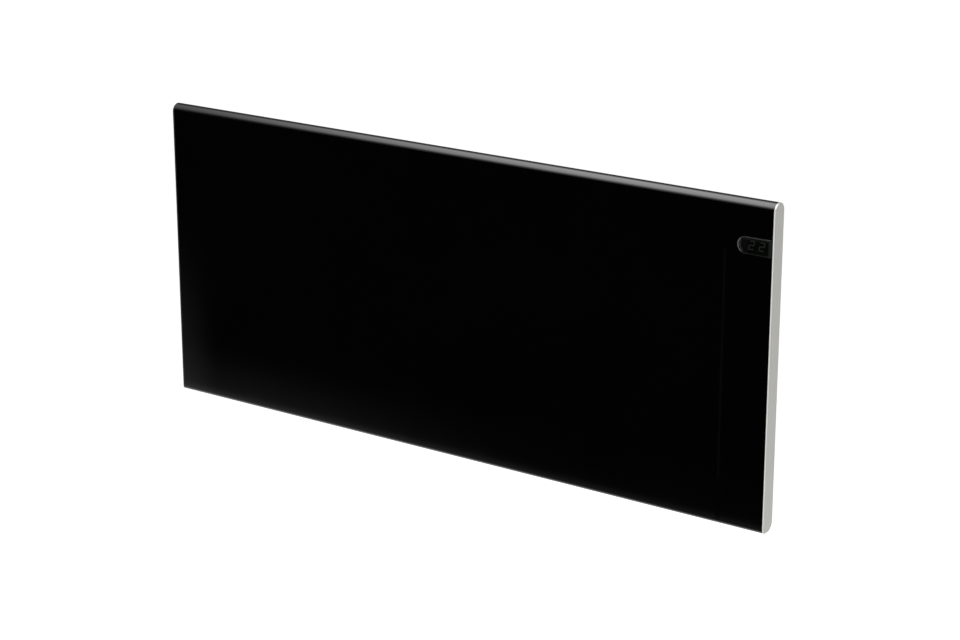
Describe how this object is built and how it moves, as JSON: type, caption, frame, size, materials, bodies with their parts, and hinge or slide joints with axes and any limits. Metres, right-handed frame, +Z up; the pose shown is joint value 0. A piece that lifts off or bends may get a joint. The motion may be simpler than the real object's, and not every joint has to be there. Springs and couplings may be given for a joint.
{
  "type": "convector heater",
  "caption": "Slim wall-hung convector heater: gloss black front with rounded top, silver end cap, sunk display window, rear air duct and tilting wall bracket.",
  "frame": {"origin": "centre of the four wall screw holes, on the wall plane at the back of the bracket", "axes": "+X to the right seen from the front, along the heater's width; the front faces -Y and +Y points into the wall; +Z up"},
  "size_m": [0.84, 0.0795, 0.37],
  "materials": {
    "front_black": "high gloss black powder coat",
    "cap_black": "gloss black moulding",
    "cap_silver": "satin silver, fine bead blast",
    "back_black": "semi-matt black powder coat",
    "bracket_black": "matt black powder coat",
    "galvanised": "galvanised sheet",
    "spring_steel": "bright spring steel",
    "lens": "dark tinted clear plastic",
    "digits": "dim grey-green segments",
    "dark_plastic": "fine textured dark plastic",
    "key_grey": "satin grey plastic",
    "board_green": "green solder mask",
    "brass": "plain brass",
    "zinc": "zinc plated steel",
    "black_screw": "black zinc",
    "relay_blue": "blue plastic",
    "parts_white": "white plastic",
    "aluminium": "bare extruded aluminium",
    "sheath": "annealed steel sheath",
    "ceramic": null,
    "cutout": "dark moulding with plated tabs",
    "mat_rubber": "grey silicone rubber",
    "black_rubber": "black rubber",
    "lead_insulation": "silicone lead insulation"
  },
  "bodies": {
    "wall_bracket": {"left_bracket_arm": "bracket_black", "right_bracket_arm": "bracket_black", "upper_rail": "bracket_black", "lower_rail": "bracket_black", "latch_springs": "spring_steel", "wall_bumpers": "black_rubber"},
    "heater": {"front_panel": "front_black", "left_end_cap": "cap_black", "right_end_cap": "cap_silver", "rear_cover": "back_black", "duct_casing": "back_black", "outlet_grille": "back_black", "inlet_grille": "back_black", "panel_stiffeners": "galvanised", "element_brackets": "galvanised", "hanger_lugs": "galvanised", "latch_strikers": "galvanised", "display_window": "lens", "display_digits": "digits", "display_module": "dark_plastic", "display_carrier": "dark_plastic", "switch_housing": "dark_plastic", "cable_gland": "dark_plastic", "gland_nut": "dark_plastic", "sensor_clip": "dark_plastic", "display_board": "board_green", "power_board": "board_green", "board_spacers": "brass", "terminal_screws": "brass", "earth_stud": "brass", "element_terminals": "brass", "board_screws": "zinc", "lug_rivets": "zinc", "hanger_pins": "zinc", "cover_screws": "black_screw", "casing_screws": "black_screw", "cap_screws": "black_screw", "relay": "relay_blue", "board_parts": "parts_white", "terminal_block": "parts_white", "heat_sink": "aluminium", "heating_element": "aluminium", "rear_reflector": "aluminium", "element_rod": "sheath", "element_bushes": "ceramic", "room_sensor": "ceramic", "thermal_cutout": "cutout", "key_mat": "mat_rubber", "lead_grommet": "black_rubber", "mains_leads": "lead_insulation", "heater_leads": "lead_insulation", "earth_lead": "lead_insulation"},
    "key_plus": {"plus_key": "key_grey"},
    "key_minus": {"minus_key": "key_grey"},
    "key_mode": {"mode_key": "key_grey"},
    "rocker": {"power_rocker": "dark_plastic"}
  },
  "joints": [
    {"name": "heater_tilt", "type": "hinge", "parent": "wall_bracket", "child": "heater", "pos_m": [0, -0.013, -0.156], "axis": [1, 0, 0], "range_deg": [0, 20], "deforming": ["latch_springs"]},
    {"name": "rocker_swing", "type": "hinge", "parent": "heater", "child": "rocker", "pos_m": [0.37, -0.0609, -0.02725], "axis": [1, 0, 0], "range_deg": [0, 16]},
    {"name": "key_minus_press", "type": "slide", "parent": "heater", "child": "key_minus", "axis": [0, -1, 0], "range_m": [0, 0.001], "stiffness_N_per_m": 800, "springref_m": -0.0003, "deforming": ["key_mat"]},
    {"name": "key_mode_press", "type": "slide", "parent": "heater", "child": "key_mode", "axis": [0, -1, 0], "range_m": [0, 0.001], "stiffness_N_per_m": 800, "springref_m": -0.0003, "deforming": ["key_mat"]},
    {"name": "key_plus_press", "type": "slide", "parent": "heater", "child": "key_plus", "axis": [0, -1, 0], "range_m": [0, 0.001], "stiffness_N_per_m": 800, "springref_m": -0.0003, "deforming": ["key_mat"]}
  ]
}
